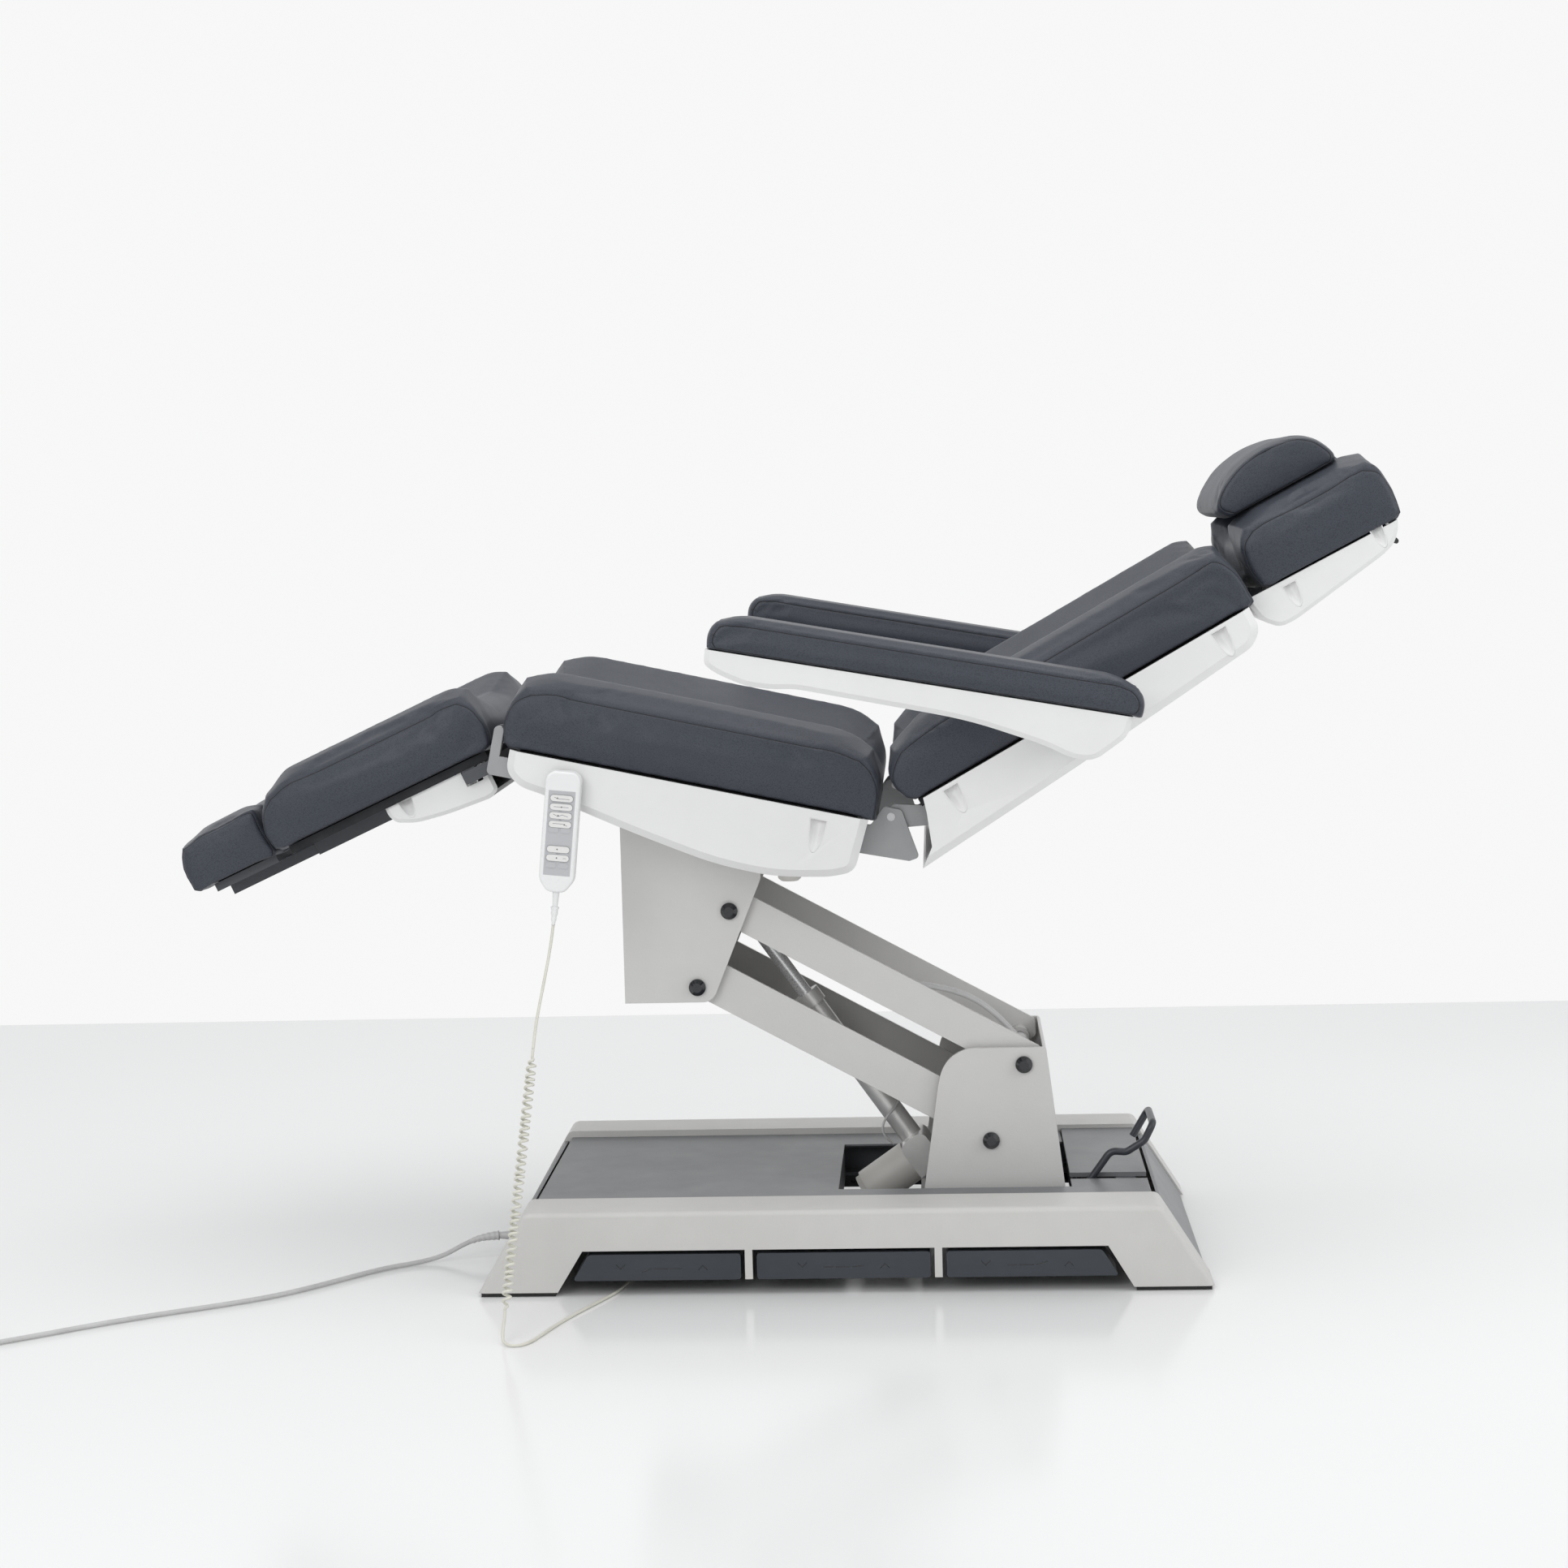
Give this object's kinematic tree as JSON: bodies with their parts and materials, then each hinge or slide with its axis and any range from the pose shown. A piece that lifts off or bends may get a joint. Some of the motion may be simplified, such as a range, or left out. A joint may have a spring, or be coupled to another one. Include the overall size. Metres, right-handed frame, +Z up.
{
  "type": "treatment chair",
  "caption": "Reclining treatment chair with padded sections on an electric parallelogram lift, pedal-edged base, folding armrests and corded handset.",
  "frame": {"origin": "on the floor, below the middle of the chair's box without its cords", "axes": "+X towards the headrest along the chair, -Y towards the side with the handset, +Z up"},
  "size_m": [2.2356, 1.0428, 1.2013],
  "materials": {
    "upholstery": "slate-blue coated upholstery, fine grain, soft sheen",
    "shell_plastic": "white moulded shells, satin gloss",
    "lift_paint": "pale grey powder coat, fine orange peel",
    "base_paint": "pale warm grey powder coat",
    "deck_paint": "mid grey textured powder coat",
    "chassis_paint": "dark powder coat",
    "pedal_plastic": "dark slate moulding",
    "black_plastic": "black moulding",
    "pad_rubber": "black rubber",
    "pin_steel": "turned steel",
    "rod_steel": "polished rod",
    "tube_aluminium": "drawn tube, satin",
    "motor_plastic": "warm white moulding",
    "frame_paint": "graphite powder coat",
    "plywood": "plywood board wrapped in black lining cloth",
    "handset_plastic": "white moulding",
    "keypad": "grey membrane",
    "lead_sheath": "cream sheath",
    "mains_sheath": "pale grey sheath",
    "cord_plastic": "pale grey moulding",
    "lever_paint": "dark coated bar",
    "castor_tread": "dark tread"
  },
  "bodies": {
    "base": {"foot_pads": "pad_rubber", "sills": "base_paint", "end_panels": "deck_paint", "chassis": "chassis_paint", "deck": "deck_paint", "pedal_switches": "black_plastic", "base_bracket": "lift_paint", "base_pins": "pin_steel", "base_pin_caps": "black_plastic", "cord_glands": "cord_plastic", "mains_cord": "mains_sheath", "mains_coil": "mains_sheath", "mains_plug": "cord_plastic", "curly_cord": "lead_sheath", "handset_lead_lower": "lead_sheath"},
    "transport_lever": {"transport_lever": "lever_paint"},
    "castor_near": {"castor_near": "castor_tread"},
    "castor_far": {"castor_far": "castor_tread"},
    "upper_arm": {"upper_arm": "lift_paint"},
    "lower_arm": {"lower_arm": "lift_paint"},
    "head_bracket": {"head_bracket": "lift_paint", "head_pins": "pin_steel", "head_pin_caps": "black_plastic"},
    "lift_rod": {"lift_rod": "rod_steel"},
    "lift_tube": {"lift_tube": "tube_aluminium", "lift_motor": "motor_plastic"},
    "seat": {"seat_cushion": "upholstery", "seat_board": "plywood", "seat_shell": "shell_plastic", "seat_frame": "frame_paint", "handset": "handset_plastic", "handset_keypad": "keypad", "handset_lead_upper": "lead_sheath"},
    "back": {"back_frame": "frame_paint", "back_board": "plywood", "back_cushion": "upholstery", "back_shell": "shell_plastic", "back_pins": "pin_steel"},
    "head_bars": {"head_bars": "rod_steel"},
    "head": {"head_frame": "frame_paint", "head_cushion": "upholstery", "head_shell": "shell_plastic", "pillow": "upholstery"},
    "release_lever": {"release_lever": "black_plastic"},
    "leg": {"leg_cushion": "upholstery", "leg_board": "plywood", "leg_shell": "shell_plastic", "leg_frame": "frame_paint"},
    "foot": {"foot_frame": "frame_paint", "foot_cushion": "upholstery"},
    "arm_near": {"arm_pad_near": "upholstery", "arm_shell_near": "shell_plastic"},
    "arm_far": {"arm_pad_far": "upholstery", "arm_shell_far": "shell_plastic"},
    "pedal_near_1": {"pedal_near_1": "pedal_plastic"},
    "pedal_near_2": {"pedal_near_2": "pedal_plastic"},
    "pedal_near_3": {"pedal_near_3": "pedal_plastic"},
    "pedal_far_1": {"pedal_far_1": "pedal_plastic"},
    "pedal_far_2": {"pedal_far_2": "pedal_plastic"},
    "pedal_far_3": {"pedal_far_3": "pedal_plastic"}
  },
  "joints": [
    {"name": "lift", "type": "hinge", "parent": "base", "child": "lower_arm", "pos_m": [0.288, 0, 0.18], "axis": [0, 1, 0], "range_deg": [-26, 12]},
    {"name": "lift_upper_arm", "type": "hinge", "parent": "base", "child": "upper_arm", "pos_m": [0.338, 0, 0.293], "axis": [0, 1, 0], "range_deg": [-26.5, 12.5]},
    {"name": "lift_head_bracket", "type": "hinge", "parent": "lower_arm", "child": "head_bracket", "pos_m": [-0.14104, 0, 0.41587], "axis": [0, 1, 0], "range_deg": [-12.5, 26.5]},
    {"name": "lift_rod_swing", "type": "hinge", "parent": "head_bracket", "child": "lift_rod", "pos_m": [-0.09104, 0, 0.52887], "axis": [0, 1, 0], "range_deg": [-24, 12]},
    {"name": "lift_tube_slide", "type": "slide", "parent": "lift_rod", "child": "lift_tube", "axis": [0.5753, 0, -0.8179], "range_m": [-0.115, 0.055]},
    {"name": "seat_tilt", "type": "hinge", "parent": "head_bracket", "child": "seat", "pos_m": [-0.15, 0, 0.663], "axis": [0, 1, 0], "range_deg": [-12, 4]},
    {"name": "backrest", "type": "hinge", "parent": "seat", "child": "back", "pos_m": [0.152, 0, 0.675], "axis": [0, 1, 0], "range_deg": [-12, 41.6]},
    {"name": "leg_rest", "type": "hinge", "parent": "seat", "child": "leg", "pos_m": [-0.402, 0, 0.813], "axis": [0, 1, 0], "range_deg": [-40, 30]},
    {"name": "foot_slide", "type": "slide", "parent": "leg", "child": "foot", "axis": [-0.91, 0, -0.4147], "range_m": [0, 0.14]},
    {"name": "headrest_slide", "type": "slide", "parent": "back", "child": "head_bars", "axis": [0.8721, 0, 0.4894], "range_m": [0, 0.1]},
    {"name": "headrest_tilt", "type": "hinge", "parent": "head_bars", "child": "head", "pos_m": [0.69564, 0, 0.9568], "axis": [0, 1, 0], "range_deg": [-10, 12]},
    {"name": "release_lever_pull", "type": "hinge", "parent": "head", "child": "release_lever", "pos_m": [0.86462, 0, 1.05798], "axis": [0, 1, 0], "range_deg": [0, 9], "stiffness_Nm_per_rad": 0.5, "springref_deg": -2.86},
    {"name": "armrest_near", "type": "hinge", "parent": "back", "child": "arm_near", "pos_m": [0.41, 0, 0.79], "axis": [0, 1, 0], "range_deg": [-30, 90]},
    {"name": "armrest_far", "type": "hinge", "parent": "back", "child": "arm_far", "pos_m": [0.41, 0, 0.79], "axis": [0, 1, 0], "range_deg": [-30, 90]},
    {"name": "transport_lever_press", "type": "hinge", "parent": "base", "child": "transport_lever", "pos_m": [0.414, 0, 0.08], "axis": [0, 1, 0], "range_deg": [0, 12]},
    {"name": "castor_near_roll", "type": "hinge", "parent": "transport_lever", "child": "castor_near", "pos_m": [0.472, 0, 0.054], "axis": [0, 1, 0], "continuous": true},
    {"name": "castor_far_roll", "type": "hinge", "parent": "transport_lever", "child": "castor_far", "pos_m": [0.472, 0, 0.054], "axis": [0, 1, 0], "continuous": true},
    {"name": "pedal_near_1_press", "type": "hinge", "parent": "base", "child": "pedal_near_1", "pos_m": [-0.1885, 0, 0.042], "axis": [0, 1, 0], "range_deg": [-2.5, 2.5], "stiffness_Nm_per_rad": 60},
    {"name": "pedal_near_2_press", "type": "hinge", "parent": "base", "child": "pedal_near_2", "pos_m": [0.07187, 0, 0.042], "axis": [0, 1, 0], "range_deg": [-2.5, 2.5], "stiffness_Nm_per_rad": 60},
    {"name": "pedal_near_3_press", "type": "hinge", "parent": "base", "child": "pedal_near_3", "pos_m": [0.33337, 0, 0.042], "axis": [0, 1, 0], "range_deg": [-2.5, 2.5], "stiffness_Nm_per_rad": 60},
    {"name": "pedal_far_1_press", "type": "hinge", "parent": "base", "child": "pedal_far_1", "pos_m": [-0.1885, 0, 0.042], "axis": [0, 1, 0], "range_deg": [-2.5, 2.5], "stiffness_Nm_per_rad": 60},
    {"name": "pedal_far_2_press", "type": "hinge", "parent": "base", "child": "pedal_far_2", "pos_m": [0.07187, 0, 0.042], "axis": [0, 1, 0], "range_deg": [-2.5, 2.5], "stiffness_Nm_per_rad": 60},
    {"name": "pedal_far_3_press", "type": "hinge", "parent": "base", "child": "pedal_far_3", "pos_m": [0.33337, 0, 0.042], "axis": [0, 1, 0], "range_deg": [-2.5, 2.5], "stiffness_Nm_per_rad": 60}
  ],
  "couplings": [
    {"joint": "lift_upper_arm", "follows": "lift", "ratio": 1},
    {"joint": "lift_head_bracket", "follows": "lift", "ratio": -1},
    {"joint": "lift_rod_swing", "follows": "lift", "ratio": 0.88},
    {"joint": "lift_tube_slide", "follows": "lift", "m_per_rad": 0.223}
  ]
}
